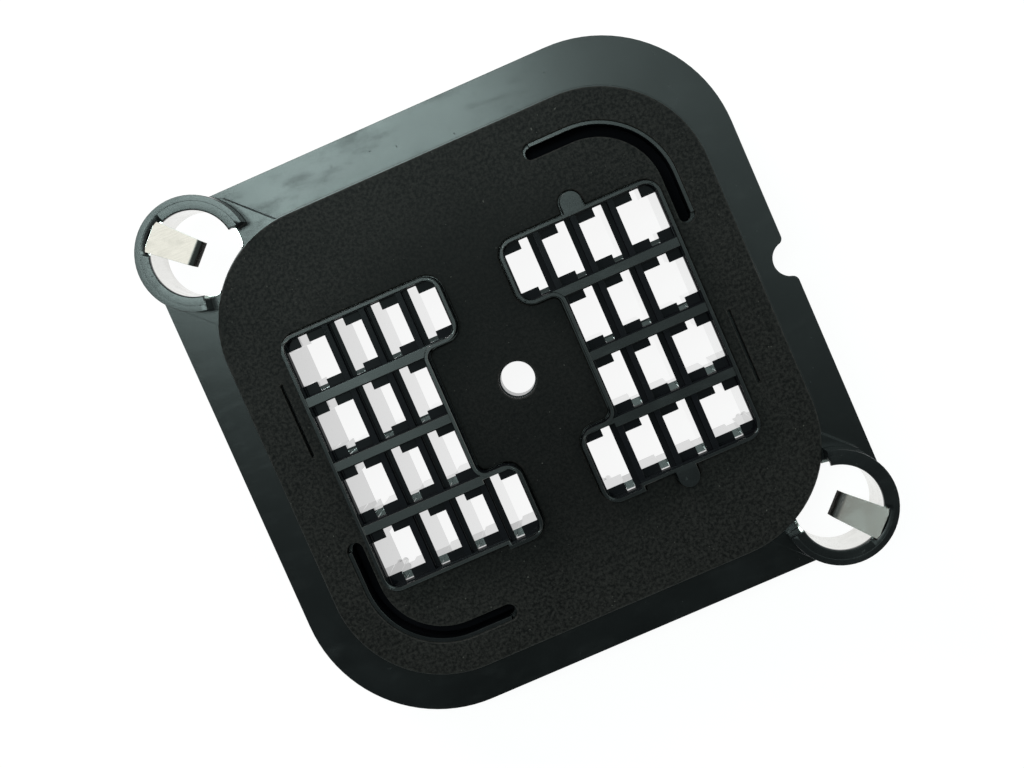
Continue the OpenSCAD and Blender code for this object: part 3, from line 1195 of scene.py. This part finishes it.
@dataclass(frozen=True)
class Sky:
    """Graded light from a high window, two cards and the horizon, and plain white to the camera.

    Ranges are along the parts of a direction of length 1. A level is the light's strength.
    """

    base_level: float = 0.04
    window_level: float = 1.45
    card_level: float = 1.16
    back_level: float = 0.17
    fill_level: float = 0.55
    window_tint: Colour = WINDOW_TINT
    card_tint: Colour = (1.0, 1.0, 0.93)
    window_x: Range = (-0.24, -0.13)
    window_x_low: float = 0.05
    window_y: Range = (-0.24, 0.20)
    window_far_y: Range = (0.18, 0.27)
    window_far_loss: float = 0.85
    window_z: Range = (0.1, 0.6)
    overhead_y: float = 0.03
    overhead: Range = (0.002, 0.016)
    overhead_low: float = 0.4
    card_way: Vec2 = (0.65, -0.76)
    back_way: Vec2 = (-0.79, 0.61)
    card_edge: Range = (0.38, 0.50)
    card_z: Range = (0.60, 0.78)
    fill_edge: Range = (0.45, 0.85)
    fill_z: Range = (0.78, 0.50)

    def build(self) -> None:
        """Make the world."""
        world = bpy.data.worlds.new("studio")
        bpy.context.scene.world = world
        world.use_nodes = True
        graph = Graph(world.node_tree)
        x, y, z = graph.axes(graph.node("ShaderNodeTexCoord", None, None, "Generated"))
        card, back = (self._card(way, x, y, z) for way in (self.card_way, self.back_way))
        fill = (x + y).absolute().step(*self.fill_edge) * z.step(*self.fill_z)
        level = self.base_level + self._window(x, y, z) * self.window_level + fill * self.fill_level
        level = level + card * self.card_level + back * self.back_level
        tint = graph.mix(card.maximum(back), self.window_tint, self.card_tint)
        light = graph.node("ShaderNodeBackground", None, {"Color": tint, "Strength": level})
        white = graph.node("ShaderNodeBackground", None, {"Color": opaque(WHITE), "Strength": 1.0})
        camera = graph.node("ShaderNodeLightPath", None, None, "Is Camera Ray")
        mixed = graph.node("ShaderNodeMixShader", None, {0: camera, 1: light, 2: white})
        graph.node("ShaderNodeOutputWorld", None, {"Surface": mixed})

    def _window(self, x: Link, y: Link, z: Link) -> Link:
        """Grade the window.

        Args:
            x: Part of the direction along X.
            y: Part of the direction along Y.
            z: Part of the direction along Z.

        Returns:
            The window's light, from 0 to 1.
        """
        band = y.step(*self.window_y) * (1.0 - y.step(*self.window_far_y) * self.window_far_loss)
        band = band * z.step(*self.window_z) * x.step(*self.window_x).lifted(self.window_x_low)
        off = y + self.overhead_y
        return band * (x * x + off * off).step(*self.overhead).lifted(self.overhead_low)

    def _card(self, way: Vec2, x: Link, y: Link, z: Link) -> Link:
        """Grade a card that stands to one side.

        Args:
            way: Direction of the card in the plan.
            x: Part of the direction along X.
            y: Part of the direction along Y.
            z: Part of the direction along Z.

        Returns:
            The card's light, from 0 to 1.
        """
        return (x * way[0] + y * way[1]).step(*self.card_edge) * z.step(*self.card_z)


@dataclass(frozen=True)
class PaperFloor:
    """White ground that takes the shadow and reads as paper white."""

    half: float = 3.0
    below: float = 0.02 * MM
    paper: Colour = (0.93, 0.93, 0.92)
    glow: float = 1.12
    glow_share: float = 0.82

    def build(self) -> None:
        """Lay the floor."""
        mesh = bpy.data.meshes.new("floor")
        plan = ((-1, -1), (1, -1), (1, 1), (-1, 1))
        mesh.from_pydata([(x * self.half, y * self.half, -self.below) for x, y in plan], [], [(0, 1, 2, 3)])
        floor = placed(mesh)
        material, graph = blank("paper_white")
        paper = graph.node("ShaderNodeBsdfDiffuse", None, {"Color": opaque(self.paper)})
        glow = graph.node("ShaderNodeEmission", None, {"Color": opaque(WHITE), "Strength": self.glow})
        seen = self._seen(graph) * self.glow_share
        shader = graph.node("ShaderNodeMixShader", None, {0: seen, 1: paper, 2: glow})
        graph.node("ShaderNodeOutputMaterial", None, {"Surface": shader})
        mesh.materials.append(material)

    @staticmethod
    def _seen(graph: Graph) -> Link:
        """Tell rays that look at a thing from rays that light it.

        Args:
            graph: Tree to add nodes to.

        Returns:
            1 for camera, mirror and glass rays.
        """
        kinds = ("Is Camera Ray", "Is Glossy Ray", "Is Transmission Ray")
        rays = [graph.node("ShaderNodeLightPath", None, None, kind) for kind in kinds]
        return rays[0].maximum(rays[1]).maximum(rays[2])


@dataclass(frozen=True)
class Camera:
    """The camera, at the photograph's viewing angle."""

    eye: Vec3 = (11.95 * MM, 15.10 * MM, 296.30 * MM)
    aim: Vec3 = (-0.954 * MM, -0.132 * MM, 24.0 * MM)
    image_up: Vec3 = (0.4010, 0.9161, 0.0)
    focal_pixels: float = 1756.8
    sensor: float = 36.0
    nearest: float = 0.01

    def build(self) -> None:
        """Set the camera up and make it the scene's own."""
        lens = bpy.data.cameras.new("camera")
        lens.sensor_fit = "HORIZONTAL"
        lens.sensor_width = self.sensor
        lens.lens = self.focal_pixels * self.sensor / FRAME_PIXELS[0]
        lens.clip_start = self.nearest
        camera = bpy.data.objects.new("camera", lens)
        camera.matrix_world = facing(self.eye, self.aim, self.image_up)
        bpy.context.scene.collection.objects.link(camera)
        bpy.context.scene.camera = camera


@dataclass(frozen=True)
class Studio:
    """White floor, graded sky, two softboxes and the camera."""

    window: Softbox = Softbox("window_softbox", (-0.069, 0.107, 0.60), (-0.02, 0.03, 0.0), (0.19, 0.07),
                              0.50, WINDOW_TINT)
    key: Softbox = Softbox("key_softbox", (-0.25, 0.60, 0.40), (0.0, 0.0, 0.02), (0.30, 0.30), 2.0)

    def build(self) -> None:
        """Make the floor, the light and the camera."""
        PaperFloor().build()
        Sky().build()
        self.window.hang()
        self.key.hang()
        Camera().build()
        bpy.context.scene.view_settings.view_transform = "Standard"


def main() -> None:
    """Build the connector and the studio, and log each piece's number of faces."""
    logging.basicConfig(level=logging.INFO, format="%(name)s: %(message)s")
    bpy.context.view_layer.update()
    for assembly in (Housing(), Gasket(), Retainers()):
        for piece in assembly.build():
            LOG.info("%s: %d faces", piece.name, len(piece.data.polygons))
    Studio().build()


if __name__ == "__main__":
    main()
